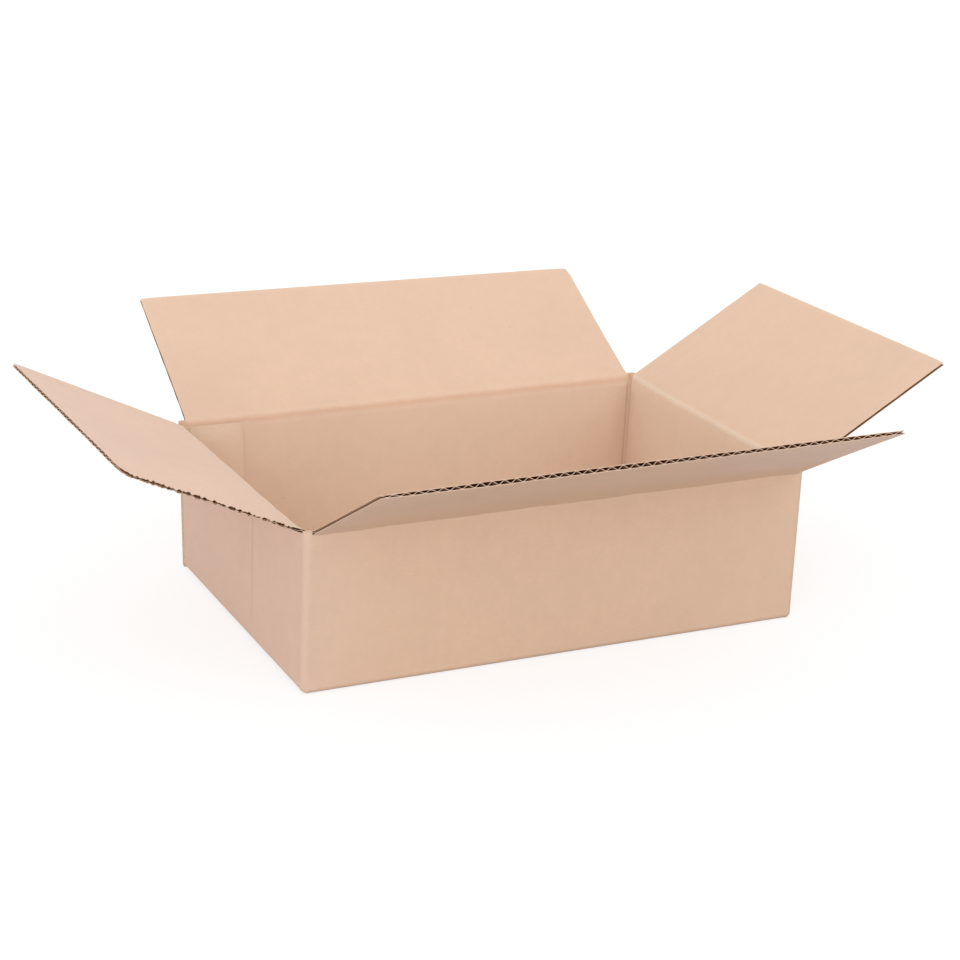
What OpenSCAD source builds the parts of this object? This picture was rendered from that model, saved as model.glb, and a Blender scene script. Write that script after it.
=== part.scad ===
// Slotted carton of single-wall corrugated board, folded from one blank and standing open.
// The four panels, the glued joint tab and the glued bottom are one folded piece.
// The four top flaps each turn about a crushed score along the top of their panel.
// Origin: middle of the underside. X runs along the long panels, Y from front to back.

/* [Box] */
// Length outside, along the long panels
box_l = 300; // [200:1:420]
// Width outside, along the end panels
box_w = 214; // [140:1:300]
// Height of the end panels' top score above the floor
end_score_h = 87.5; // [40:0.5:200]
// Gap left where two opposite long flaps meet over the middle
meeting_gap = 1; // [0.4:0.1:6]

/* [Board] */
// Thickness of the corrugated board
board_t = 3; // [2.4:0.1:4]
// Distance from one flute to the next
flute_pitch = 6.5; // [5:0.1:9]
// Thickness of each flat liner
liner_t = 0.35; // [0.25:0.05:0.5]
// Thickness of the wavy medium between the liners
medium_t = 0.35; // [0.25:0.05:0.5]

/* [Scores] */
// Depth of a top flap's axis behind the outer face
axis_in = 0.85; // [0.6:0.05:1.2]
// Radius of the crushed bead about which a top flap turns
bead_r = 0.7; // [0.4:0.05:0.9]
// Clearance round the bead inside a flap's root
bead_gap = 0.12; // [0.05:0.01:0.3]
// Angle of the crush towards the inner face, from the plane of the board
inner_crush = 44; // [30:1:44]
// Angle of the crush towards the outer face, from the plane of the board
outer_crush = 12; // [10:1:14]
// Solid board left between a flap's crush and its first open flutes
crush_end = 0.4; // [0.1:0.1:2]
// Clearance between a closed end flap and the long flap that lies over it
stack_gap = 0.3; // [0.2:0.05:1]

/* [Slots and corners] */
// Clearance between a flap's side edge and the panel next to it
slot_clear = 1; // [0.4:0.1:4]
// Clearance between a top flap's side edge and the corner of the box beside it
side_gap = 0.3; // [0.1:0.05:1]
// Outside radius of the three folded upright corners
corner_r = 3; // [1:0.5:5]
// Outside radius of the folds along the bottom
bend_r = 2.2; // [1:0.1:2.4]

/* [Glued joint] */
// Width of the tab glued inside the back panel
tab_w = 36; // [20:1:60]
// Thickness of the tab after pressing
tab_t = 2.6; // [1.6:0.1:3]
// Angle cut from the tab's upper and lower ends
tab_slant = 6; // [0:1:20]
// Distance from the end panels' score down to the tab's upper end
tab_drop = 3.5; // [3.2:0.1:10]
// Distance from the inner bottom flaps up to the tab's lower end
tab_rise = 1; // [0.2:0.1:6]
// Outside radius of the fold between the left panel and the tab
tab_fold_r = 2; // [1:0.1:3]
// Depth of the groove over that fold, from the left panel's outer face
groove_depth = 1.2; // [0.6:0.1:2]
// Length of tab that runs into the left panel
tab_sink = 0.5; // [0.2:0.1:1.5]

/* [Open flaps] */
// Opening of the front flap past upright
front_open = 62.5; // [0:0.5:150]
// Opening of the back flap past upright
back_open = 60; // [0:0.5:150]
// Opening of the left flap past upright
left_open = 65; // [0:0.5:150]
// Opening of the right flap past upright
right_open = 59; // [0:0.5:150]

/* [Hidden] */
kraft_outside = [0.83, 0.70, 0.58];
kraft_inside = [0.90, 0.78, 0.67];

// Scores: how far each crush runs from the bead's axis, and where the board is whole again
inner_drop = (board_t - axis_in) / tan(inner_crush);
outer_drop = axis_in / tan(outer_crush);
root_h = max(inner_drop, outer_drop) + crush_end;
long_score_h = end_score_h + board_t + stack_gap;

// Slots: the scores stop short of the box's corners by this much, and so do the flaps
setback = board_t + slot_clear;
long_score_w = box_l - 2 * setback;
end_score_w = box_w - 2 * setback;
long_flap_w = long_score_w - 2 * side_gap;
end_flap_w = end_score_w - 2 * side_gap;
flap_reach = (box_w - meeting_gap) / 2;
flap_len = flap_reach - axis_in;

// Flutes: the medium's centre line is a cosine wave, pressed a little into both liners
wave_h = (board_t - 2 * liner_t - medium_t) / 2;
wave_press = 1.05;
wave_a = wave_h * wave_press;
cell_half = flute_pitch * acos(-1 / wave_press) / 360;
cell_steps = 4;
flute_phase = 0.25;

// Levels of the upright panels
panel_base = board_t + bend_r;
panel_top = end_score_h - root_h;
corner_top = long_score_h + axis_in;
round_fn = 48;

// Board section: hollow cells above and below the medium, seen at every cut edge

function cell_edge(x) = (board_t + medium_t) / 2 - wave_a * cos(360 * x / flute_pitch);

function upper_cell(x0) = [
    for (i = [0 : cell_steps])
        let (x = cell_half * (2 * i / cell_steps - 1))
        [x0 + x, cell_edge(x)]
];

function lower_cell(x0) = [for (p = upper_cell(x0)) [p[0], board_t - p[1]]];

module board_section(width) {
    last = ceil(width / flute_pitch / 2) + 1;
    difference() {
        translate([-width / 2, 0]) square([width, board_t]);
        for (k = [-last : last]) {
            polygon(upper_cell((k + flute_phase) * flute_pitch));
            polygon(lower_cell((k + flute_phase + 0.5) * flute_pitch));
        }
    }
}

// Board with its flutes along Z and its outer face at Y = 0
module fluted_board(width, length) {
    linear_extrude(length) board_section(width);
}

// A profile drawn in (inward, up) carried along X
module along_panel(width) {
    rotate([90, 0, 90]) translate([0, 0, -width / 2]) linear_extrude(width) children();
}

// Frames of the four sides: X along the panel, Y inward from its outer face, Z up

module on_front(h) { translate([0, -box_w / 2, h]) children(); }
module on_back(h) { rotate(180) translate([0, -box_w / 2, h]) children(); }
module on_left(h) { rotate(-90) translate([0, -box_l / 2, h]) children(); }
module on_right(h) { rotate(90) translate([0, -box_l / 2, h]) children(); }

// Plan of the panels: three folded corners, and the glued joint at the back left

module outline() {
    square([box_l - 2 * corner_r, box_w], center = true);
    square([box_l, box_w - 2 * corner_r], center = true);
    for (p = [[-1, -1], [1, -1], [1, 1]])
        translate([p[0] * (box_l / 2 - corner_r), p[1] * (box_w / 2 - corner_r)])
            circle(corner_r, $fn = round_fn);
    translate([-box_l / 2, box_w / 2 - corner_r]) square(corner_r);
}

// The left panel folds in under the cut end of the back panel, which leaves a groove
module joint_groove() {
    translate([-box_l / 2, box_w / 2 - board_t - tab_fold_r]) difference() {
        translate([-groove_depth, 0]) square([2 * groove_depth, tab_fold_r]);
        translate([tab_fold_r, 0]) circle(tab_fold_r, $fn = round_fn);
    }
}

module panel_plan() {
    difference() {
        outline();
        square([box_l - 2 * board_t, box_w - 2 * board_t], center = true);
        joint_groove();
    }
}

module corner_plan() {
    intersection() {
        panel_plan();
        for (sx = [-1, 1], sy = [-1, 1])
            translate([sx * (box_l - setback) / 2, sy * (box_w - setback) / 2])
                square(setback, center = true);
    }
}

// Top of a panel: the board thins from both faces to the bead, with the axis at the origin's height
module panel_score(width, depth) {
    along_panel(width) {
        polygon([
            [0, -depth], [0, -outer_drop], [axis_in, 0],
            [board_t, -inner_drop], [board_t, -depth]
        ]);
        translate([axis_in, 0]) circle(bead_r, $fn = round_fn);
    }
}

// Fold from a panel into a bottom flap, and as much of the flap as reach says
module bottom_fold(width, reach) {
    along_panel(width) {
        translate([0, bend_r]) square([board_t, board_t]);
        translate([bend_r, 0]) square([reach - bend_r, board_t]);
        translate([bend_r, bend_r]) circle(bend_r, $fn = round_fn);
    }
}

// Inner bottom flap: folded in first, with its flutes open at the free edge
module end_bottom_flap() {
    root = 2 * board_t;
    bottom_fold(end_score_w, root);
    translate([0, root, board_t]) rotate([-90, 0, 0])
        fluted_board(end_score_w, flap_reach - root);
}

module joint_tab() {
    low = 2 * board_t + tab_rise;
    high = end_score_h - tab_drop;
    cut = tab_w * tan(tab_slant);
    translate([-box_l / 2 + board_t, box_w / 2 - board_t, 0]) rotate([90, 0, 0])
        linear_extrude(tab_t)
            polygon([[-tab_sink, low], [tab_w, low + cut], [tab_w, high - cut], [-tab_sink, high]]);
}

module box_body() {
    color(kraft_outside) {
        translate([0, 0, panel_base]) linear_extrude(panel_top - panel_base) panel_plan();
        translate([0, 0, board_t]) linear_extrude(corner_top - board_t) corner_plan();
        on_front(long_score_h) panel_score(long_score_w, long_score_h - panel_top);
        on_back(long_score_h) panel_score(long_score_w, long_score_h - panel_top);
        on_left(end_score_h) panel_score(end_score_w, root_h);
        on_right(end_score_h) panel_score(end_score_w, root_h);
        on_front(0) bottom_fold(long_score_w, flap_reach);
        on_back(0) bottom_fold(long_score_w, flap_reach);
        on_left(board_t) end_bottom_flap();
        on_right(board_t) end_bottom_flap();
        joint_tab();
    }
}

// Top flap, standing upright over its panel with the bead's axis at the origin's height
module top_flap(width) {
    along_panel(width) difference() {
        polygon([
            [axis_in, 0], [0, outer_drop], [0, root_h],
            [board_t, root_h], [board_t, inner_drop]
        ]);
        translate([axis_in, 0]) circle(bead_r + bead_gap, $fn = round_fn);
    }
    translate([0, 0, root_h]) fluted_board(width, flap_len - root_h);
}

module opened(angle) {
    translate([0, axis_in, 0]) rotate([angle, 0, 0]) translate([0, -axis_in, 0]) children();
}

module front_flap() {
    color(kraft_inside) on_front(long_score_h) opened(front_open) top_flap(long_flap_w);
}

module back_flap() {
    color(kraft_inside) on_back(long_score_h) opened(back_open) top_flap(long_flap_w);
}

module left_flap() {
    color(kraft_inside) on_left(end_score_h) opened(left_open) top_flap(end_flap_w);
}

module right_flap() {
    color(kraft_inside) on_right(end_score_h) opened(right_open) top_flap(end_flap_w);
}

box_body();
front_flap();
back_flap();
left_flap();
right_flap();
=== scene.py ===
"""Open slotted carton of single-wall corrugated board: folded walls, glued bottom, four top flaps."""
import bpy
import numpy as np
from mathutils import Matrix, Vector


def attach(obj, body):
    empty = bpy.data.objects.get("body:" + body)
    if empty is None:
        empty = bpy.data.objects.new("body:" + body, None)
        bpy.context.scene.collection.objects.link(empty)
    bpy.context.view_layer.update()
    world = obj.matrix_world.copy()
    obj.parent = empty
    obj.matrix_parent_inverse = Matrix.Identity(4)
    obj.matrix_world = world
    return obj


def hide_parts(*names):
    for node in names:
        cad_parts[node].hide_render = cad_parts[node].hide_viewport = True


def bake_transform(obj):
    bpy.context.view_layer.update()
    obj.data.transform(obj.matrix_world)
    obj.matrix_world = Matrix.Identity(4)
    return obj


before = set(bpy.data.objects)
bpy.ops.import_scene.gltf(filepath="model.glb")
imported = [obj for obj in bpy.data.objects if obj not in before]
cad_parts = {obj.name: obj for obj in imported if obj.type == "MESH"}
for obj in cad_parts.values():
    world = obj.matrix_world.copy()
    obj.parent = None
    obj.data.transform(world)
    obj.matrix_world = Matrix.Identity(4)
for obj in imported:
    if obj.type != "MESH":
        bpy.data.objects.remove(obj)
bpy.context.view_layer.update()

# Sizes in millimetres, as in the part's source
MM = 0.001
LENGTH, WIDTH = 300.0, 214.0
BOARD, LINER, MEDIUM = 3.0, 0.35, 0.28
FLUTE_PITCH = 6.5
END_SCORE, LONG_SCORE = 87.5, 90.8
AXIS_IN = 0.85
FLAP_REACH = 106.5
SETBACK = 4.0
SEAM_DROP = 7.0
FOLD_R, CORNER_R, ROUND_R = 3.2, 3.9, 2.0
TAB_W, TAB_T, TAB_FOLD_R = 36.0, 2.6, 2.8
TAB_LOW, TAB_HIGH, TAB_SLANT = 7.0, 88.2, 0.4
# Distances along the blank from a fold's middle: half an upright fold, half the tab's fold,
# the end of the left panel's strip beside the tab, and the tab's thinned edge
HALF_FOLD, HALF_TAB_FOLD, JOINT_END, TAB_EDGE = 3.4, 2.2, 7.4, 9.0
# The tab is pressed thin from this height, over this rise, by this share of its thickness
PRESS_FROM, PRESS_OVER, PRESS_LOSS = 79.0, 8.0, 0.78
# Air between the tab and the back panel, and from the corner to the back panel's cut end
GLUE_GAP, CUT_GAP = 0.02, 0.4
# Inside radius of the upright folds, and thickness of the tab's thinned edge
INNER_R, TAB_TIP = 0.9, 1.0

# Creases: outer radius of the bend, reach of the turning zone, depth and half width of the crush
CREASE_R = 0.8
BEND_ZONE = 3.5
CRUSH, CRUSH_W = 0.4, 3.0

# Where the rim of the standing box has moved out of square, per corner (x, y)
RIM = {"fl": (2.9, -0.1), "fr": (2.8, -0.6), "br": (3.1, -1.2), "bl": (0.5, 2.3)}
WALL_BOW = 0.7
# Place of the left panel's upright kink, from its middle towards the front
KINK_U = 25.0


class Side:
    """One side of the box: u runs along the panel, s inward from its outer face, z up."""

    def __init__(self, body, along, inward, span, depth, score, blank, rest, twist, drop, skew, rise):
        self.body, self.span, self.depth, self.score, self.blank = body, span, depth, score, blank
        self.along, self.inward = np.array(along, float), np.array(inward, float)
        self.rest, self.twist, self.drop, self.skew, self.rise = rest, twist, drop, skew, rise
        self.half = span / 2 - SETBACK

    def point(self, u, s, z):
        """along * u + inward * (s - depth) + up * z, with s less the panel's slight outward bow."""
        u, s, z = np.broadcast_arrays(u, s, z)
        s = s - self.bow(u, z)
        flat = self.along * u[..., None] + self.inward * (s - self.depth)[..., None]
        return np.concatenate([flat, z[..., None]], axis=-1)

    def bow(self, u, z):
        """A parabola across the panel times a half sine up it: zero at the corners, floor and score."""
        across = np.clip(1 - (u / self.half) ** 2, 0, 1)
        return WALL_BOW * across * np.sin(np.pi * np.clip(z / self.score, 0, 1))

    def share(self, u):
        """Share of the way along the panel, from 0 to 1."""
        return np.clip(u / self.span + 0.5, 0, 1)


# Angles in degrees: rest above the horizontal, and twist from the panel's start to its end.
# drop is how far the crease lies below the score, and skew how much longer the flap is, at the
# start and the end; rise lifts the crease's end; blank is the panel's start on the flat sheet
SIDES = {
    "left": Side("left", (0, -1), (1, 0), WIDTH, LENGTH / 2, END_SCORE, blank=0.0,
                 rest=26.2, twist=0.0, drop=(0, 0), skew=(5.0, 1.6), rise=2.5),
    "front": Side("front", (1, 0), (0, 1), LENGTH, WIDTH / 2, LONG_SCORE, blank=WIDTH,
                  rest=26.7, twist=-0.3, drop=(1.3, 2.1), skew=(0, 0), rise=0.0),
    "right": Side("right", (0, 1), (-1, 0), WIDTH, LENGTH / 2, END_SCORE, blank=WIDTH + LENGTH,
                  rest=30.5, twist=1.5, drop=(0, 0), skew=(1.9, 0), rise=2.4),
    "back": Side("back", (-1, 0), (0, -1), LENGTH, WIDTH / 2, LONG_SCORE, blank=2 * WIDTH + LENGTH,
                 rest=28.2, twist=3.1, drop=(1.5, 1.5), skew=(0, 0), rise=0.0),
}
# Where the upright folds lie along the blank, and its cut end
FOLDS = [side.blank for side in SIDES.values()]
BLANK_END = 2 * (WIDTH + LENGTH)


def settle(p):
    """Moves points with the rim: the four corner offsets, bilinear in plan, grow with height to the rim."""
    kx = np.clip(p[..., 0] / LENGTH + 0.5, 0, 1)
    ky = np.clip(p[..., 1] / WIDTH + 0.5, 0, 1)
    rise = np.clip(p[..., 2] / END_SCORE, 0, 1)
    moved = p.copy()
    for axis in (0, 1):
        front = RIM["fl"][axis] * (1 - kx) + RIM["fr"][axis] * kx
        back = RIM["bl"][axis] * (1 - kx) + RIM["br"][axis] * kx
        moved[..., axis] += rise * (front * (1 - ky) + back * ky)
    return moved


def ripple(x, seed, lengths=(31.0, 13.0, 7.1, 3.7)):
    """A sum of sines of the given wavelengths with seeded phases, about -1 to 1."""
    phases = np.random.default_rng(seed).uniform(0, 2 * np.pi, len(lengths))
    return sum(np.sin(2 * np.pi * x / w + a) for w, a in zip(lengths, phases)) / len(lengths) ** 0.75


# Meshes

def closed_sheet(outer, inner, uv, wear_and_painted_light, slots, cells=None):
    """A slab between two grids of points (n, m, 3): a face per cell on each, and rim faces
    wherever a present cell has no neighbour. slots are the materials of outer, inner and rim."""
    n, m = outer.shape[:2]
    present = np.ones((n - 1, m - 1), bool) if cells is None else cells
    index = np.arange(n * m).reshape(n, m)
    padded = np.zeros((n + 1, m + 1), bool)
    padded[1:-1, 1:-1] = present
    a, b, c, d = index[:-1, :-1], index[1:, :-1], index[1:, 1:], index[:-1, 1:]
    back = n * m
    faces = [np.stack([a, b, c, d], -1)[present], np.stack([d, c, b, a], -1)[present] + back]
    kinds = [np.full(len(faces[0]), slots[0]), np.full(len(faces[1]), slots[1])]
    for near, (p, q) in (
        (padded[1:-1, :-2], (a, b)), (padded[1:-1, 2:], (c, d)),
        (padded[:-2, 1:-1], (d, a)), (padded[2:, 1:-1], (b, c)),
    ):
        open_side = present & ~near
        rim = np.stack([q, p, p + back, q + back], -1)[open_side]
        faces.append(rim)
        kinds.append(np.full(len(rim), slots[2]))
    return {
        "points": np.concatenate([outer.reshape(-1, 3), inner.reshape(-1, 3)]),
        "faces": np.concatenate(faces), "kinds": np.concatenate(kinds),
        "uv": np.concatenate([uv.reshape(-1, 2)] * 2),
        "wear_and_painted_light": np.concatenate([np.broadcast_to(w, (n, m)).ravel() for w in wear_and_painted_light]),
    }


def make_piece(name, sheets, materials):
    """One mesh object of several closed sheets, with blank coordinates as its UV map."""
    counts = np.cumsum([0] + [len(s["points"]) for s in sheets])
    points = np.concatenate([s["points"] for s in sheets])
    faces = np.concatenate([s["faces"] + c for s, c in zip(sheets, counts)])
    kinds = np.concatenate([s["kinds"] for s in sheets]).astype(np.int32)
    uv = np.concatenate([s["uv"] for s in sheets])
    wear_and_painted_light = np.concatenate([s["wear_and_painted_light"] for s in sheets])
    used, compact = np.unique(faces, return_inverse=True)
    faces = compact.reshape(-1, 4).astype(np.int32)
    points, uv, wear_and_painted_light = points[used], uv[used], wear_and_painted_light[used]
    mesh = bpy.data.meshes.new(name)
    mesh.vertices.add(len(points))
    mesh.vertices.foreach_set("co", (settle(points) * MM).astype(np.float32).ravel())
    mesh.loops.add(faces.size)
    mesh.loops.foreach_set("vertex_index", faces.ravel())
    mesh.polygons.add(len(faces))
    mesh.polygons.foreach_set("loop_start", np.arange(0, faces.size, 4, dtype=np.int32))
    mesh.polygons.foreach_set("material_index", kinds)
    layer = mesh.uv_layers.new(name="blank")
    layer.data.foreach_set("uv", (uv[faces.ravel()] * MM).astype(np.float32).ravel())
    mesh.attributes.new("wear_and_painted_light", "FLOAT", "POINT").data.foreach_set("value", wear_and_painted_light.astype(np.float32))
    for material in materials:
        mesh.materials.append(material)
    mesh.update(calc_edges=True)
    mesh.validate()
    mesh.polygons.foreach_set("use_smooth", np.ones(len(mesh.polygons), bool))
    mesh.set_sharp_from_angle(angle=np.radians(38))
    piece = bpy.data.objects.new(name, mesh)
    bpy.context.scene.collection.objects.link(piece)
    return piece


OUTSIDE, INSIDE, CUT, FLUTING = range(4)


def thickness(v):
    """Board thickness: full, less a bell-shaped crush across the score at v = 0."""
    return BOARD - CRUSH * np.exp(-(v / CRUSH_W) ** 2)


def flute_wave(u, thick, phase, share):
    """Middle of the medium and its half thickness, both as shares of the board's, at each u;
    the wave keeps only a share of its height where the board is creased."""
    turn = 2 * np.pi * (u / FLUTE_PITCH + phase)
    height = (thick - 2 * LINER - MEDIUM) / 2 * 1.04 * share
    slope = height * 2 * np.pi / FLUTE_PITCH * np.sin(turn)
    middle = 0.5 + height * np.cos(turn) / thick
    return middle, MEDIUM / 2 * np.sqrt(1 + slope ** 2) / thick


def corrugated(place, u_at, q, thick_at, uv_at, rub_and_highlight_at, half, phase, columns=72, per_flute=10,
               fine_q=None, wave_share=None):
    """Three slabs on a common surface place(u, q, s): outer liner, wavy medium, inner liner.
    s runs from 0 at the outer face to 1 at the inner; u_at(f, q, layer) gives the side edges."""
    sheets = []
    wide = np.sin(np.linspace(-1, 1, columns) * np.pi / 2)
    fine = np.linspace(-1, 1, int(round(2 * half / FLUTE_PITCH * per_flute)))
    for layer, slots in ((0, (OUTSIDE, FLUTING, CUT)), (2, (FLUTING, INSIDE, CUT))):
        f, qq = np.meshgrid(wide, q if fine_q is None else fine_q, indexing="ij")
        u = u_at(f, qq, layer)
        share = LINER / thick_at(u, qq)
        s0 = 0 * share if layer == 0 else 1 - share
        wear_and_painted_light = rub_and_highlight_at(u, qq)
        sheets.append(closed_sheet(
            place(u, qq, s0), place(u, qq, s0 + share), uv_at(u, qq), (wear_and_painted_light, wear_and_painted_light), slots))
    f, qq = np.meshgrid(fine, q, indexing="ij")
    u = u_at(f, qq, 1)
    share = 1.0 if wave_share is None else wave_share(u, qq)
    middle, half_s = flute_wave(u, thick_at(u, qq), phase, share)
    sheets.append(closed_sheet(
        place(u, qq, middle - half_s), place(u, qq, middle + half_s), uv_at(u, qq), (0, 0),
        (FLUTING, FLUTING, CUT)))
    return sheets


# Top flaps: q runs 0 to 1 up the end of the wall, 1 to 2 round the crease, 2 to 3 along the flap

def flap_lines(side, u):
    """Angle above the horizontal, height of the bend's end on the wall, length past the bend.
    The free edge stays where an undropped crease would put it, but for a cut slightly askew."""
    k = side.share(u)
    rest = np.radians(side.rest + side.twist * (k - 0.5))
    drop = side.drop[0] * (1 - k) + side.drop[1] * k + 0.3 * ripple(u, int(side.blank), (71, 29, 11))
    drop = drop - side.rise * np.exp(-np.clip(side.half - u, 0, None) / 8.0)
    reach = FLAP_REACH - AXIS_IN + side.skew[0] * (1 - k) + side.skew[1] * k
    out, up = reach * np.cos(rest), reach * np.sin(rest) + drop
    angle, length = np.arctan2(up, out), np.hypot(out, up)
    bend = np.pi / 2 - angle
    inset = (AXIS_IN + CREASE_R) * np.tan(bend / 2)
    return bend, side.score - drop - inset, length - inset


def flap_v(side, u, q):
    """Distance along the outer face from the middle of the crease, in millimetres."""
    bend, foot, length = flap_lines(side, u)
    h = CREASE_R * bend / 2
    seam = side.score - SEAM_DROP
    wall = -h - (foot - seam) * (1 - np.clip(q, 0, 1))
    return wall + 2 * h * np.clip(q - 1, 0, 1) + length * np.clip(q - 2, 0, 1)


def flap_place(side, lift, crush):
    """The flap's surface: straight wall, an arc about a centre outside the box, a straight flap;
    s moves along the inward normal by the thickness there."""

    def place(u, q, s):
        bend, foot, length = flap_lines(side, u)
        v = flap_v(side, u, q)
        turn = bend * np.clip(q - 1, 0, 1)
        below = (foot - (side.score - SEAM_DROP)) * (1 - np.clip(q, 0, 1))
        beyond = length * np.clip(q - 2, 0, 1)
        thick = thickness(v) * (1 - crush(u, v))
        depth = thick * s + (thickness(v) - thick) * 0.5
        if lift is not None:
            depth = depth + lift(u, v)
        ss = CREASE_R * (np.cos(turn) - 1) - beyond * np.sin(bend) + depth * np.cos(turn)
        zz = foot + CREASE_R * np.sin(turn) - below + beyond * np.cos(bend) + depth * np.sin(turn)
        return side.point(u, ss, zz)

    return place


def flap_rows():
    """Rows of q: few on the wall, close round the crease, wider along the flap, close at its end."""
    wall = np.array([0, 0.35, 0.6, 0.8, 0.92])
    bend = 1 + np.linspace(0, 1, 9)
    flap = 2 + np.array([0.004, 0.009, 0.016, 0.026, 0.04, 0.06, 0.09, 0.14, 0.2, 0.27, 0.35, 0.43,
                         0.51, 0.59, 0.67, 0.75, 0.82, 0.88, 0.93, 0.965, 0.985, 1.0])
    return np.concatenate([wall, bend, flap])


def dense_rows(step=0.0125):
    """Rows for a flap with a torn side edge: the same crease, then even close steps."""
    return np.concatenate([flap_rows()[:20], 2 + np.arange(0.07, 1.0, step), [3.0]])


def torn_edge(v, seed, layer, ragged):
    """How far a torn side edge stands past a clean cut: fibres and a slow taper, a dip beside the
    crease, and in the outer liner some strips of paper left about the middle."""
    torn = ripple(v, seed + 7 * layer + 3, (43, 17.3, 8.9))
    torn = torn + 0.9 * ripple(v, seed + layer, (4.7, 2.9, 1.7))
    edge = (ragged * (0.7 * torn - 0.7) - 0.024 * v) * np.clip(v / 8, 0, 1)
    edge = edge - 2.2 * np.exp(-((v - 2.0) / 9.0) ** 2) * np.clip(v / 2, 0, 1)
    if layer == 0:
        strips = np.clip(0.5 + ripple(v, 77, (9.1, 4.3, 2.7)), 0, 1)
        edge = edge + 1.2 * ragged * np.exp(-((v - 45.0) / 26.0) ** 2) * strips
    return edge


def flap_edges(side, recess, flare, ragged, clip, seed):
    """The side edges of a flap's three layers: inset from the slot, a fine roughness, a flare
    towards the tip, a torn edge, a cut corner, and the medium recessed behind the liners.
    recess and flare are for the panel's start and end. clip is the cut corner: which end, how
    deep at the tip, from which v, and over what length."""

    def u_at(f, q, layer):
        v = flap_v(side, f * side.half, q)
        at_end = f > 0
        inset = (0.3 + 0.5 * (1 - np.exp(-np.clip(v, 0, None) / 3))) * (v > 0.4)
        rough = 0.12 * ripple(v, seed + layer, (17, 5.3, 2.9)) * (v > 1)
        spread = np.clip(v / 105.0, 0, 1) ** 2
        edge = side.half - inset + rough + np.where(at_end, flare[1], flare[0]) * spread
        if ragged:
            edge = edge + np.where(at_end, torn_edge(v, seed, layer, ragged), 0)
        if clip is not None:
            end, depth, where, over = clip
            edge = edge - np.where(f * end > 0, depth * np.clip((v - where) / over, 0, 1), 0)
        if layer == 1:
            deep = np.where(at_end, recess[1], recess[0])
            edge = edge - deep * np.clip(v / 3, 0, 1) * np.clip((104.0 - v) / 3, 0.25, 1)
        return f * edge

    return u_at


def bend_zone(piece, side):
    """Works out a zone centred on the crease where it has settled, square to its line, from the wall to
    the flap, but nothing uses it; then bakes the piece's placing into its mesh."""
    middle = np.mean(side.drop)
    crease = [settle(side.point(np.array(u), np.array(AXIS_IN), np.array(side.score - drop)))
              for u, drop in ((-side.half, side.drop[0]), (0.0, middle), (side.half, side.drop[1]))]
    line = crease[2] - crease[0]
    rest = np.radians(side.rest)
    across = BEND_ZONE * np.append(-side.inward * np.cos(rest), 1 + np.sin(rest))
    across = across - line * (across @ line) / (line @ line)
    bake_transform(piece)


def flap_piece(name, side, phase, materials, press=(0.3, 0.3), recess=(2.4, 2.4), flare=(0.0, 0.0),
               ragged=0.0, lift=None, crush=None, clip=None, seed=1):
    """A top flap with its crease and the strip of wall that the crease bends out of."""
    half = side.half

    def uv_at(u, q):
        return np.stack([side.blank + u + side.span / 2, side.score + flap_v(side, u, q)], -1)

    def pressed(u, v):
        amount = np.where(u < 0, press[0], press[1])
        sides = amount * np.exp(-(half - np.abs(u)) / 4.0) * np.clip(v / 3, 0, 1)
        return sides if crush is None else np.maximum(sides, crush(u, v))

    def thick_at(u, q):
        v = flap_v(side, u, q)
        return thickness(v) * (1 - pressed(u, v))

    # Paler at the cut edges and the free edge, where rubbed, and a painted highlight along the crease.
    def rub_and_highlight_at(u, q):
        v = flap_v(side, u, q)
        length = flap_lines(side, u)[2]
        ends = np.exp(-(half - np.abs(u)) / 0.8) + np.exp(-(length - v) / 0.8)
        return np.clip(0.3 * np.exp(-(v / 2.2) ** 2) + ends * (v > 0), 0, 1)

    def wave_share(u, q):
        return 1 - 0.65 * np.exp(-(flap_v(side, u, q) / 5.0) ** 4)

    u_at = flap_edges(side, recess, flare, ragged, clip, seed)
    place = flap_place(side, lift, pressed)
    rows = dense_rows() if ragged else flap_rows()
    sheets = corrugated(place, u_at, rows, thick_at, uv_at, rub_and_highlight_at, half, phase,
                        columns=34 if ragged else 72, per_flute=8 if ragged else 10,
                        fine_q=dense_rows(0.0055) if ragged else None, wave_share=wave_share)
    piece = make_piece(name, sheets, materials)
    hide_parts(side.body + "_flap")
    bend_zone(piece, side)
    return piece


# Walls: one folded strip, from the glued tab round to the cut end of the back panel

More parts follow.
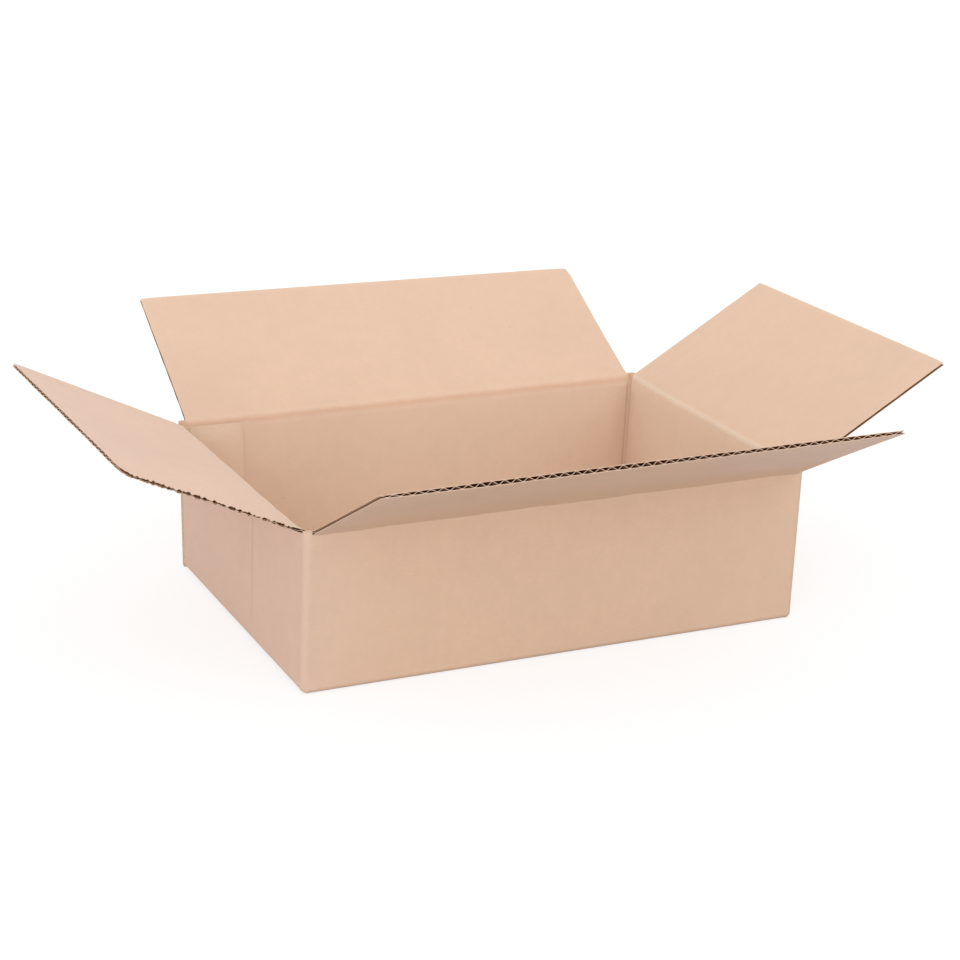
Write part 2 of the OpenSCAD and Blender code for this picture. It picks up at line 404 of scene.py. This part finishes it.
def plan_line(inset, corner_r, tab_side):
    """Plan of one face of the strip: the tab, its fold, then panels joined by quarter arcs.
    Returns points, distance along the blank, and the zone of each span between columns."""
    hx, hy = LENGTH / 2 - inset, WIDTH / 2 - inset
    line, blank, zones = [], [], []

    def run(start, end, b0, b1, count, zone, closer=None):
        """Even columns on a straight line, with more at the shares of it given in closer."""
        k = np.linspace(0, 1, count + 1)
        if closer is not None:
            k = np.unique(np.concatenate([k, closer]))
        line.append(np.array(start) + np.outer(k, np.array(end) - np.array(start)))
        blank.append(b0 + k * (b1 - b0))
        zones.extend([zone] * (len(k) - 1) + [None])

    def arc(centre, radius, first, b0, b1, zone, count=10):
        """Even columns on a quarter circle that starts at the angle first."""
        k = np.linspace(0, 1, count + 1)
        turn = np.radians(first + 90 * k)
        line.append(np.array(centre) - radius * np.stack([np.cos(turn), np.sin(turn)], -1))
        blank.append(b0 + k * (b1 - b0))
        zones.extend([zone] * count + [None])

    def join():
        """Drops the doubled column, so that the next run carries on from the last."""
        line[-1], blank[-1] = line[-1][:-1], blank[-1][:-1]
        zones.pop()

    back_inner = WIDTH / 2 - BOARD - GLUE_GAP
    tab_r = TAB_FOLD_R - tab_side
    tab_y = back_inner - tab_side
    centre = (-LENGTH / 2 + TAB_FOLD_R, back_inner - TAB_FOLD_R)
    # The tab's free face slopes down to a thin edge
    tip_y = back_inner - TAB_TIP if tab_side else tab_y
    slope_x = centre[0] + TAB_W - TAB_EDGE
    run((centre[0] + TAB_W, tip_y), (slope_x, tab_y), -TAB_W, TAB_EDGE - TAB_W, 4, "tab")
    join()
    run((slope_x, tab_y), (centre[0], tab_y), TAB_EDGE - TAB_W, -HALF_TAB_FOLD, 6, "tab")
    arc(centre, tab_r, -90, -HALF_TAB_FOLD, HALF_TAB_FOLD, "joint")
    x, y = LENGTH / 2, WIDTH / 2
    run((-hx, centre[1]), (-hx, y - JOINT_END), HALF_TAB_FOLD, JOINT_END, 2, "joint")
    # More columns about the kink, as shares of the left panel's run
    near_kink = np.array([-5, -3, -2, -1.2, -0.6, 0, 0.6, 1.2, 2, 3, 4.5, 6, 8, 10])
    closer = (KINK_U + WIDTH / 2 + near_kink - JOINT_END) / (WIDTH - JOINT_END - SETBACK)
    run((-hx, y - JOINT_END), (-hx, -y + SETBACK), JOINT_END, WIDTH - SETBACK, 24, "end", closer)
    for name, zone_next, corner, turn in (
        ("left", "long", (-1, -1), 0), ("front", "end", (1, -1), 90), ("right", "long", (1, 1), 180),
    ):
        b = SIDES[name].blank + SIDES[name].span
        cx, cy = corner[0] * (hx - corner_r), corner[1] * (hy - corner_r)
        n0 = -np.array([np.cos(np.radians(turn)), np.sin(np.radians(turn))])
        n1 = -np.array([np.cos(np.radians(turn + 90)), np.sin(np.radians(turn + 90))])
        a_end = np.array([cx, cy]) + corner_r * n0
        b_start = np.array([cx, cy]) + corner_r * n1
        a_slot = slot_point(name, inset, 1)
        after = {"left": "front", "front": "right", "right": "back"}[name]
        b_slot = slot_point(after, inset, -1)
        run(a_slot, a_end, b - SETBACK, b - HALF_FOLD, 2, "post")
        arc((cx, cy), corner_r, turn, b - HALF_FOLD, b + HALF_FOLD, "post")
        run(b_start, b_slot, b + HALF_FOLD, b + SETBACK, 2, "post")
        nxt = SIDES[after]
        far = nxt.span - SETBACK
        run(b_slot, slot_point(after, inset, 1), nxt.blank + SETBACK, nxt.blank + far, 24, zone_next)
    run(slot_point("back", inset, 1), (-x + CUT_GAP, hy), BLANK_END - SETBACK, BLANK_END, 2, "post")
    return np.concatenate(line), np.concatenate(blank), zones[:-1]


def slot_point(name, inset, end):
    """Plan point of a panel's face at the slot beside its start (-1) or end (1)."""
    side = SIDES[name]
    return side.along * end * side.half + side.inward * (inset - side.depth)


def wall_sheet():
    """The strip as one slab: every column runs from its own base to its own top."""
    outer, blank, zones = plan_line(0.0, CORNER_R, 0.0)
    inner, _, _ = plan_line(BOARD, INNER_R, TAB_T)
    end_seam, long_seam = END_SCORE - SEAM_DROP, LONG_SCORE - SEAM_DROP
    levels = np.concatenate([[0.3, 0.7, 1.3, 2.1, FOLD_R, BOARD + FOLD_R, TAB_LOW], np.linspace(14, 72, 8),
                             [end_seam, long_seam, 86.0, TAB_HIGH, 88.4]])
    row = {"base": 0, "long": 4, "end": 5, "tab": 6, "end_top": 15, "long_top": 16, "tab_top": 18,
           "post_top": 19}
    spans = {"tab": ("tab", "tab_top"), "joint": ("base", "tab_top"), "end": ("end", "end_top"),
             "long": ("long", "long_top"), "post": ("base", "post_top"), None: ("base", "base")}
    cells = np.zeros((len(blank) - 1, len(levels) - 1), bool)
    for k, zone in enumerate(zones):
        cells[k, row[spans[zone][0]]:row[spans[zone][1]]] = True
    z = np.broadcast_to(levels, (len(blank), len(levels))).copy()
    top, base = post_top(blank), post_base(blank)
    z[:, -1] = top
    z[:, -2] = np.minimum(z[:, -2], top - 0.3)
    z[:, -3] = np.minimum(z[:, -3], top - 0.6)
    z[:, :4] += (base - levels[0])[:, None]
    slant = np.clip(-blank / TAB_W, 0, 1)[:, None] * TAB_SLANT
    centre, half = (TAB_LOW + TAB_HIGH) / 2, (TAB_HIGH - TAB_LOW) / 2
    z = np.where(blank[:, None] < 0, centre + (z - centre) * (half - slant) / half, z)
    # The lower ends of the corners are rounded on their outer face
    low = np.clip(1 - (z - base[:, None]) / ROUND_R, 0, 1)
    inset = ROUND_R * (1 - np.sqrt(1 - low ** 2))
    across = (inner - outer) / np.linalg.norm(inner - outer, axis=1, keepdims=True)
    # The tab is pressed thin towards its upper end
    thin = np.clip((z - PRESS_FROM) / PRESS_OVER, 0, 1)
    thin = thin * np.clip((-blank[:, None] - HALF_TAB_FOLD) / 6.0, 0, 1)
    squash = -PRESS_LOSS * thin * np.linalg.norm(inner - outer, axis=1)[:, None]
    faces = []
    for plan, depth in ((outer, inset), (inner, squash)):
        flat = plan[:, None, :] + across[:, None, :] * depth[..., None]
        faces.append(bow_walls(np.concatenate([flat, z[..., None]], -1), blank))
    uv = np.stack([np.broadcast_to(blank[:, None], z.shape), z], -1)
    fold = np.min(np.abs(blank[:, None, None] - np.array(FOLDS)), axis=-1)
    valley = (blank[:, None] - WIDTH / 2 - KINK_U) / 0.9
    # Painted shade: darker along the outer corners and in the left panel's kink valley, and inside, darker
    # in and beside the upright folds.
    painted_shade_out = -0.12 * np.exp(-(fold / 4.0) ** 2) - 0.55 * np.exp(-valley ** 2) * np.clip((z - 8) / 20, 0, 1)
    painted_shade_in = -0.5 * np.exp(-(fold / 1.4) ** 2) - 0.3 * np.exp(-(fold / 8.0) ** 2) + 0 * z
    return closed_sheet(faces[0], faces[1], uv, (painted_shade_out, painted_shade_in), (OUTSIDE, INSIDE, CUT), cells)


def post_base(blank):
    """Height of the corners' lower ends: they round down from an end panel's fold to a long one's.
    One row of heights per corner, the last for the cut end of the back panel."""
    near = np.array([-4, -1, 1.5, 4])
    low = [(0.3, 0.7, 1.1, 1.3), (1.3, 1.0, 0.4, 0.1), (0.1, 0.4, 1.0, 1.3), (1.3, 1.0, 0.4, 0.1),
           (0.1, 0.3, 0.3, 0.3)]
    return np.interp(blank, np.concatenate([at + near for at in (*FOLDS, BLANK_END)]), np.concatenate(low))


def post_top(blank):
    """Height of the corners between the slots: a smooth step from one score to the next."""
    scores = []
    heights = ((91.2, 89.4), (90.7, 91.2), (91.0, 89.0), (91.9, 91.3), (91.2, 91.2))
    for at, (low, high) in zip((*FOLDS, BLANK_END), heights):
        k = np.clip((blank - at) / (2 * SETBACK) + 0.5, 0, 1)
        scores.append((np.abs(blank - at) <= 8, low + (high - low) * k * k * (3 - 2 * k)))
    return np.select([s[0] for s in scores], [s[1] for s in scores], 88.0)


def bow_walls(grid, blank):
    """Adds each panel's bow, outward, and the left panel's upright kink."""
    for side in SIDES.values():
        u = blank - side.blank - side.span / 2
        on = (np.abs(u) <= side.half + 1e-6)[:, None]
        shift = np.where(on, side.bow(u[:, None], grid[..., 2]), 0)
        if side.body == "left":
            shift = shift - np.where(on, kink(u[:, None], grid[..., 2]), 0)
        grid[..., :2] -= shift[..., None] * side.inward
    return grid


def kink(u, z):
    """A soft dent line up the left panel: a narrow valley beside a wide low ridge."""
    fade = np.clip((z - 12) / 20, 0, 1) * np.clip((84 - z) / 6, 0, 1)
    d = u - KINK_U
    return fade * (0.55 * np.exp(-(d / 1.3) ** 2) - 0.3 * np.exp(-((d - 6) / 3.5) ** 2))


def bottom_flap(side, floor, free_phase, sag=0.0):
    """A bottom flap: a quarter turn under, then flat to its free edge. An inner flap's fold hangs
    lower than its level by sag, with that much more wall above it, and the flap climbs back."""
    arc = FOLD_R * np.pi / 2
    end = sag + arc + FLAP_REACH - FOLD_R
    rows = np.unique(np.concatenate([[0.0], sag + np.linspace(0, arc, 9), sag + arc + np.linspace(0, 5, 6),
                                     sag + arc + np.linspace(0, 1, 15) * (FLAP_REACH - FOLD_R)]))

    def place(u, v, s):
        turn = np.clip((v - sag) / FOLD_R, 0, np.pi / 2)
        flat = np.clip(v - sag - arc, 0, None)
        wall = np.clip(sag - v, 0, None)
        climb = np.clip(flat / 5.0, 0, 1)
        radius = FOLD_R - s * BOARD
        ss = FOLD_R - radius * np.cos(turn) + flat
        zz = floor - sag + FOLD_R - radius * np.sin(turn) + wall + sag * climb ** 2 * (3 - 2 * climb)
        return side.point(u, ss, zz)

    def u_at(f, v, layer):
        return f * (side.half - 0.12 * (v > 2) * (1 + ripple(v, 5 + layer, (23, 7, 3))))

    def uv_at(u, v):
        return np.stack([side.blank + u + side.span / 2, floor + FOLD_R - v], -1)

    # Paler at the free edge, where rubbed, and a painted highlight along the fold.
    def rub_and_highlight_at(u, v):
        return 0.3 * np.exp(-((v - sag - arc / 2) / 2.0) ** 2) + 0.6 * np.exp(-(end - v) / 0.8)

    return corrugated(place, u_at, rows, lambda u, v: BOARD + 0 * u, uv_at, rub_and_highlight_at,
                      side.half, free_phase, columns=40, per_flute=8)


# Materials

# Paper where it is rubbed, with a painted highlight along creases; painted shade in folds, at corners and in
# the kink; painted shade in lines beside a fold; flecked and chipped
RUBBED_AND_HIGHLIGHT, SHADED, GROOVE_SHADE = (0.90, 0.72, 0.56), (0.34, 0.22, 0.14), (0.45, 0.30, 0.20)
DARK_FLECK, PALE_FLECK, CHIP = (0.36, 0.22, 0.13), (0.93, 0.80, 0.66), (0.40, 0.22, 0.13)


def node(tree, kind, links=None, **settings):
    """A shader node with its settings, and its inputs either linked or set."""
    made = tree.nodes.new(kind)
    for key, value in settings.items():
        setattr(made, key, value)
    for socket, value in (links or {}).items():
        target = made.inputs[socket]
        if isinstance(value, bpy.types.NodeSocket):
            tree.links.new(value, target)
        else:
            target.default_value = value
    return made


def kraft(name, colour, left_light_tint, low, far, seed, washboard=0.3, flecks=0.5, roughness=0.82):
    """Kraft liner: slow tone changes, fibres along the sheet, small flecks, a faint washboard over the
    flutes as a bump and as painted shade, paler paper where rubbed, a painted highlight along creases, and
    painted shade in folds."""
    material, tree = new_material(name)
    uv = node(tree, "ShaderNodeUVMap", uv_map="blank").outputs["UV"]
    here = moved(tree, uv, Location=(seed, 0.37 * seed, 0.0))
    slow = noise(tree, here, 14.0, 2.0, 0.5)
    mottle = noise(tree, here, 95.0, 4.0, 0.6)
    fibre = noise(tree, moved(tree, here, Scale=(260.0, 1900.0, 1.0)), 1.0, 3.0, 0.6)
    wash = flute_shade(tree, uv, here)
    base = tones(tree, uv, colour, left_light_tint, low, far)
    cloud = math(tree, "MULTIPLY_ADD", slow, 0.10, 0.95)
    # The washboard's share of the colour is painted shade of the flutes' ripple; its share of the height
    # below is a bump.
    for cause, depth in ((mottle, 0.09), (fibre, 0.12), (wash, 0.10 * washboard)):
        cloud = math(tree, "MULTIPLY", cloud, math(tree, "MULTIPLY_ADD", cause, depth, 1 - depth / 2))
    shade = node(tree, "ShaderNodeCombineXYZ", {"X": cloud, "Y": cloud, "Z": cloud}).outputs[0]
    base = mix(tree, 1.0, base, shade, "MULTIPLY")
    base = specks(tree, here, base, flecks)
    wear_and_painted_light = node(tree, "ShaderNodeAttribute", attribute_name="wear_and_painted_light").outputs["Fac"]
    # Above zero: paler where rubbed, and a painted highlight along creases and folds; below zero: painted
    # shade in the folds, along the outer corners and in the kink.
    base = mix(tree, clamped(tree, wear_and_painted_light, 0.28), base, rgb(RUBBED_AND_HIGHLIGHT))
    base = mix(tree, clamped(tree, wear_and_painted_light, -0.5), base, rgb(SHADED))
    height = math(tree, "ADD", math(tree, "MULTIPLY", fibre, 0.35), math(tree, "MULTIPLY", mottle, 0.4))
    height = math(tree, "ADD", height, math(tree, "MULTIPLY", wash, 1.6 * washboard))
    bump = node(tree, "ShaderNodeBump", {"Height": height, "Strength": 0.35, "Distance": 0.00012})
    rough = math(tree, "MULTIPLY_ADD", mottle, 0.14, roughness - 0.07)
    finish(tree, base, rough, bump.outputs[0])
    return material


def tones(tree, uv, colour, left_light_tint, low, far):
    """Colour by place on the blank: a painted cool light on the left panel and its flap, paler inside;
    the inside below the scores painted lighter and greyer as light; paler and greyer on the front flap's
    right part towards its free edge."""
    axes = node(tree, "ShaderNodeSeparateXYZ", {"Vector": uv}).outputs
    x, y = axes["X"], axes["Y"]
    # Painted light: the left panel and its flap tinted cooler, and inside paler, as by a cool light from the
    # left.
    left_light_mask = math(tree, "MULTIPLY", between(tree, x, 0.26, 0.19), between(tree, x, -0.003, 0.003))
    base = mix(tree, left_light_mask, rgb(colour), rgb(left_light_tint))
    if low is not None:
        # Painted light: the inside walls below the scores lighter and greyer than the same paper on the
        # flaps.
        base = mix(tree, between(tree, y, 0.0900, 0.0872), base, rgb(low))
        # Painted shade in lines beside the upright folds.
        base = mix(tree, math(tree, "MULTIPLY", groove_shade_lines(tree, x, y), 0.4), base, rgb(GROOVE_SHADE))
    if far is not None:
        flap = math(tree, "MULTIPLY", between(tree, x, 0.36, 0.50), between(tree, y, 0.10, 0.15))
        flap = math(tree, "MULTIPLY", flap, between(tree, x, 0.60, 0.52))
        base = mix(tree, flap, base, rgb(far))
    return base


def groove_shade_lines(tree, x, y):
    """Painted shade: a dark line at each side of every upright fold, below the scores."""
    folds = [math(tree, "ABSOLUTE", math(tree, "SUBTRACT", x, at * MM)) for at in FOLDS]
    first, second = math(tree, "MINIMUM", *folds[:2]), math(tree, "MINIMUM", *folds[2:])
    near = math(tree, "MINIMUM", first, second)
    line = math(tree, "MULTIPLY", between(tree, near, 0.0036, 0.0044), between(tree, near, 0.0056, 0.0046))
    return math(tree, "MULTIPLY", line, between(tree, y, 0.090, 0.086))


def specks(tree, here, base, flecks):
    """Small dark and pale flecks, and longer chips along the sheet."""
    fleck = noise(tree, here, 700.0, 2.0, 0.5)
    dark = ramp(tree, fleck, ((0.0, 1.0), (0.27, 1.0), (0.32, 0.0), (1.0, 0.0)))
    pale = ramp(tree, fleck, ((0.0, 0.0), (0.70, 0.0), (0.76, 1.0), (1.0, 1.0)))
    chip = noise(tree, moved(tree, here, Scale=(210.0, 620.0, 1.0)), 1.0, 1.5, 0.6)
    chip = ramp(tree, chip, ((0.0, 0.0), (0.735, 0.0), (0.765, 1.0), (1.0, 1.0)))
    for mask, share, colour in ((dark, 0.22, DARK_FLECK), (pale, 0.20, PALE_FLECK), (chip, 0.45, CHIP)):
        base = mix(tree, math(tree, "MULTIPLY", mask, share * flecks), base, rgb(colour))
    return base


def new_material(name):
    """An empty material and its node tree."""
    material = bpy.data.materials.new(name)
    material.use_nodes = True
    material.node_tree.nodes.clear()
    return material, material.node_tree


def moved(tree, vector, **change):
    """The vector through a mapping with the given Location or Scale."""
    return node(tree, "ShaderNodeMapping", {"Vector": vector, **change}).outputs[0]


def between(tree, value, low, high):
    """A smooth step from 0 at low to 1 at high."""
    return node(tree, "ShaderNodeMapRange", {"Value": value, "From Min": low, "From Max": high},
                interpolation_type="SMOOTHSTEP").outputs[0]


def noise(tree, vector, scale, detail, rough):
    """Cloud noise at the vector, about 0.5."""
    return node(tree, "ShaderNodeTexNoise", {
        "Vector": vector, "Scale": scale, "Detail": detail, "Roughness": rough}).outputs["Fac"]


def flute_shade(tree, uv, here):
    """A sine across the sheet at the flutes' pitch, stronger in some patches than in others."""
    x = node(tree, "ShaderNodeSeparateXYZ", {"Vector": uv}).outputs["X"]
    wander = math(tree, "MULTIPLY", noise(tree, here, 25.0, 2.0, 0.5), 2.0)
    turn = math(tree, "ADD", math(tree, "MULTIPLY", x, 2 * np.pi / (FLUTE_PITCH * MM)), wander)
    wave = math(tree, "MULTIPLY_ADD", math(tree, "SINE", turn), 0.5, 0.5)
    patch = noise(tree, here, 9.0, 1.0, 0.5)
    return math(tree, "MULTIPLY", wave, patch)


def math(tree, operation, *values):
    """One arithmetic step on values that are each a number or a socket."""
    made = tree.nodes.new("ShaderNodeMath")
    made.operation = operation
    for k, value in enumerate(values):
        if isinstance(value, bpy.types.NodeSocket):
            tree.links.new(value, made.inputs[k])
        else:
            made.inputs[k].default_value = value
    return made.outputs[0]


def clamped(tree, value, factor):
    """The value times a factor, kept between 0 and 1."""
    made = math(tree, "MULTIPLY", value, factor)
    made.node.use_clamp = True
    return made


def rgb(colour):
    """The colour with a full alpha."""
    return (*colour, 1.0)


def mix(tree, factor, first, second, blend="MIX"):
    """From the first colour to the second by the factor."""
    made = tree.nodes.new("ShaderNodeMix")
    made.data_type, made.blend_type = "RGBA", blend
    for socket, value in (("Factor_Float", factor), ("A_Color", first), ("B_Color", second)):
        target = next(i for i in made.inputs if i.identifier == socket)
        if isinstance(value, bpy.types.NodeSocket):
            tree.links.new(value, target)
        else:
            target.default_value = value
    return next(o for o in made.outputs if o.identifier == "Result_Color")


def ramp(tree, value, stops):
    """Straight lines between (position, level) stops."""
    made = node(tree, "ShaderNodeValToRGB", {"Fac": value})
    points = made.color_ramp.elements
    while len(points) < len(stops):
        points.new(0.5)
    for point, (at, level) in zip(points, stops):
        point.position, point.color = at, (level, level, level, 1)
    return made.outputs["Color"]


def finish(tree, colour, rough, normal, specular=0.25):
    """Ends a material with one shader and its output."""
    shader = node(tree, "ShaderNodeBsdfPrincipled", {
        "Base Color": colour, "Roughness": rough, "Normal": normal, "Specular IOR Level": specular})
    out = tree.nodes.new("ShaderNodeOutputMaterial")
    tree.links.new(shader.outputs["BSDF"], out.inputs["Surface"])


def raw_board(name, colour, seed):
    """Unlined paper inside the board and at its cuts: coarse fibres and slower patches."""
    material, tree = new_material(name)
    where = moved(tree, node(tree, "ShaderNodeTexCoord").outputs["Object"], Location=(seed, seed, seed))
    coarse = noise(tree, where, 900.0, 3.0, 0.6)
    patch = noise(tree, where, 160.0, 2.0, 0.5)
    level = math(tree, "MULTIPLY", math(tree, "MULTIPLY_ADD", coarse, 0.5, 0.75),
                 math(tree, "MULTIPLY_ADD", patch, 0.3, 0.85))
    shade = node(tree, "ShaderNodeCombineXYZ", {"X": level, "Y": level, "Z": level}).outputs[0]
    base = mix(tree, 1.0, rgb(colour), shade, "MULTIPLY")
    bump = node(tree, "ShaderNodeBump", {"Height": coarse, "Strength": 0.5, "Distance": 0.0002}).outputs[0]
    finish(tree, base, math(tree, "MULTIPLY_ADD", coarse, 0.1, 0.85), bump, 0.15)
    return material


# Camera, floor and light

def make_camera():
    """The photograph's view: azimuth, elevation, roll, distance and aim, fitted to the box's edges."""
    az, el, roll, distance = np.radians(-24.07), np.radians(18.22), np.radians(0.747), 1.4104
    back = np.array([np.sin(az) * np.cos(el), -np.cos(az) * np.cos(el), np.sin(el)])
    right = np.cross([0, 0, 1.0], back)
    right /= np.linalg.norm(right)
    up = np.cross(back, right)
    x, y = np.cos(roll) * right + np.sin(roll) * up, -np.sin(roll) * right + np.cos(roll) * up
    place = 0.0003 * x + 0.0658 * y + distance * back
    data = bpy.data.cameras.new("camera")
    data.lens, data.sensor_width, data.clip_start, data.clip_end = 89.28, 36.0, 0.01, 50.0
    camera = bpy.data.objects.new("camera", data)
    turn = np.eye(4)
    turn[:3, 0], turn[:3, 1], turn[:3, 2], turn[:3, 3] = x, y, back, place
    camera.matrix_world = Matrix(turn.tolist())
    bpy.context.scene.collection.objects.link(camera)
    bpy.context.scene.camera = camera


def make_world(level=0.92):
    """Even white light, and plain white where the camera, gloss or glass sees it."""
    world = bpy.data.worlds.new("studio")
    bpy.context.scene.world = world
    world.use_nodes = True
    tree = world.node_tree
    tree.nodes.clear()
    path = tree.nodes.new("ShaderNodeLightPath").outputs
    seen = math(tree, "MAXIMUM", path["Is Camera Ray"],
                math(tree, "MAXIMUM", path["Is Glossy Ray"], path["Is Transmission Ray"]))
    light = node(tree, "ShaderNodeBackground", {"Color": (1, 1, 1, 1), "Strength": level}).outputs[0]
    plain = node(tree, "ShaderNodeBackground", {"Color": (1, 1, 1, 1), "Strength": 1.0}).outputs[0]
    both = node(tree, "ShaderNodeMixShader", {0: seen, 1: light, 2: plain}).outputs[0]
    out = tree.nodes.new("ShaderNodeOutputWorld")
    tree.links.new(both, out.inputs["Surface"])


def make_floor(seen=1.07, plain=0.72, bounce=0.62):
    """A plain floor at z = 0: near white where the camera sees it, with the box's soft shadow."""
    mesh = bpy.data.meshes.new("floor")
    reach = 12.0
    mesh.from_pydata([(-reach, -reach, 0), (reach, -reach, 0), (reach, reach, 0), (-reach, reach, 0)],
                     [], [(0, 1, 2, 3)])
    floor = bpy.data.objects.new("floor", mesh)
    bpy.context.scene.collection.objects.link(floor)
    material, tree = new_material("floor_white")
    lit = node(tree, "ShaderNodeBsdfDiffuse", {"Color": rgb((bounce,) * 3)}).outputs[0]
    shaded = node(tree, "ShaderNodeBsdfDiffuse", {"Color": rgb((seen - plain,) * 3)}).outputs[0]
    white = node(tree, "ShaderNodeEmission", {"Color": rgb((1, 1, 1)), "Strength": plain}).outputs[0]
    view = tree.nodes.new("ShaderNodeAddShader")
    tree.links.new(shaded, view.inputs[0])
    tree.links.new(white, view.inputs[1])
    camera = tree.nodes.new("ShaderNodeLightPath").outputs["Is Camera Ray"]
    both = node(tree, "ShaderNodeMixShader", {0: camera, 1: lit, 2: view.outputs[0]}).outputs[0]
    out = tree.nodes.new("ShaderNodeOutputMaterial")
    tree.links.new(both, out.inputs["Surface"])
    mesh.materials.append(material)


def soft_light(name, place, aim, size, power, colour=(1, 1, 1)):
    """A square lamp at a place, turned to its aim."""
    data = bpy.data.lights.new(name, "AREA")
    data.shape, data.size, data.energy, data.color = "SQUARE", size, power, colour
    lamp = bpy.data.objects.new(name, data)
    turn = (Vector(aim) - Vector(place)).to_track_quat("-Z", "Y").to_matrix().to_4x4()
    lamp.matrix_world = Matrix.Translation(place) @ turn
    bpy.context.scene.collection.objects.link(lamp)


bpy.context.scene.view_settings.view_transform = "Standard"
make_camera()
make_world()
make_floor()
soft_light("low_left", (-1.7, -1.8, 0.6), (0, 0, 0.05), 1.2, 14.0)
soft_light("high_right", (1.3, -1.6, 1.5), (0, 0, 0.05), 2.0, 4.5)

outside = kraft("kraft_outside", (0.79, 0.56, 0.41), left_light_tint=(0.79, 0.56, 0.445), low=None,
                far=(0.84, 0.63, 0.52), seed=3.1, washboard=0.06)
# low: the inside walls below the scores painted lighter and greyer, standing in for light.
inside = kraft("kraft_inside", (0.79, 0.56, 0.415), left_light_tint=(0.82, 0.60, 0.475), low=(0.81, 0.628, 0.492),
               far=None, seed=7.7, washboard=0.05)
cut_edge = raw_board("cut_edge", (0.72, 0.51, 0.37), 1.3)
fluting = raw_board("fluting", (0.42, 0.21, 0.12), 2.9)
BOARD_MATERIALS = (outside, inside, cut_edge, fluting)

# Inner bottom flaps' folds hang this much lower than their level
SAG = 2.2
bottom = (bottom_flap(SIDES["front"], 0.0, 0.1) + bottom_flap(SIDES["back"], 0.0, 0.3)
          + bottom_flap(SIDES["left"], BOARD, 0.2, SAG) + bottom_flap(SIDES["right"], BOARD, 0.6, SAG))
carton = make_piece("carton", [wall_sheet()] + bottom, BOARD_MATERIALS)
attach(carton, "box")
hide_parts("box_body")


def left_lift(u, v):
    """How far the left flap's near edge stands off towards its inner face: none at the crease,
    ever lower towards the tip, and less low at the corner."""
    edge = SIDES["left"].half - u
    return np.exp(-edge / 28.0) * np.interp(v, [0, 5, 50, 99, 106], [0, -0.6, -0.8, -2.1, -0.6])


def front_crush(u, v):
    """Share of the thickness lost along the front flap's free edge, most at its left end."""
    uneven = 0.12 + 0.12 * u / 146.0 + 0.09 * ripple(u, 5, (97, 41, 19))
    uneven = uneven + 0.3 * np.exp(-((u + 138.0) / 42.0) ** 2)
    return np.clip(uneven, 0, 0.6) * np.clip((v - 92.0) / 12.0, 0, 1)


def left_crush(u, v):
    """Share of the thickness lost where the left flap's near and free edges have been crushed."""
    near = np.exp(-((SIDES["left"].half - u) / 5.0) ** 2)
    rough = 0.3 * ripple(v, 11, (23, 9.7, 5.1)) + 0.45 * ripple(v, 12, (4.9, 2.9, 1.7))
    free = (0.36 + 0.08 * ripple(u, 6, (61, 23, 9))) * np.clip((v - 94.0) / 12.0, 0, 1)
    return np.maximum(near * np.clip(0.58 + rough, 0, 0.88) * np.clip(v / 8, 0, 1), free)


flap_piece("front_top_flap", SIDES["front"], 0.25, BOARD_MATERIALS, press=(0.42, 0.1),
           recess=(0.9, 0.3), flare=(0.0, 5.9), crush=front_crush, seed=21)
flap_piece("back_top_flap", SIDES["back"], 0.1, BOARD_MATERIALS, press=(0.5, 0.45),
           flare=(1.9, 0.0), clip=(-1, 1.5, 101.0, 4.0), seed=31)
flap_piece("left_top_flap", SIDES["left"], 0.3, BOARD_MATERIALS, recess=(2.4, 1.1), ragged=0.9,
           lift=left_lift, crush=left_crush, clip=(1, 14.0, 104.2, 3.0), seed=41)
flap_piece("right_top_flap", SIDES["right"], 0.7, BOARD_MATERIALS, press=(0.5, 0.3), seed=51)
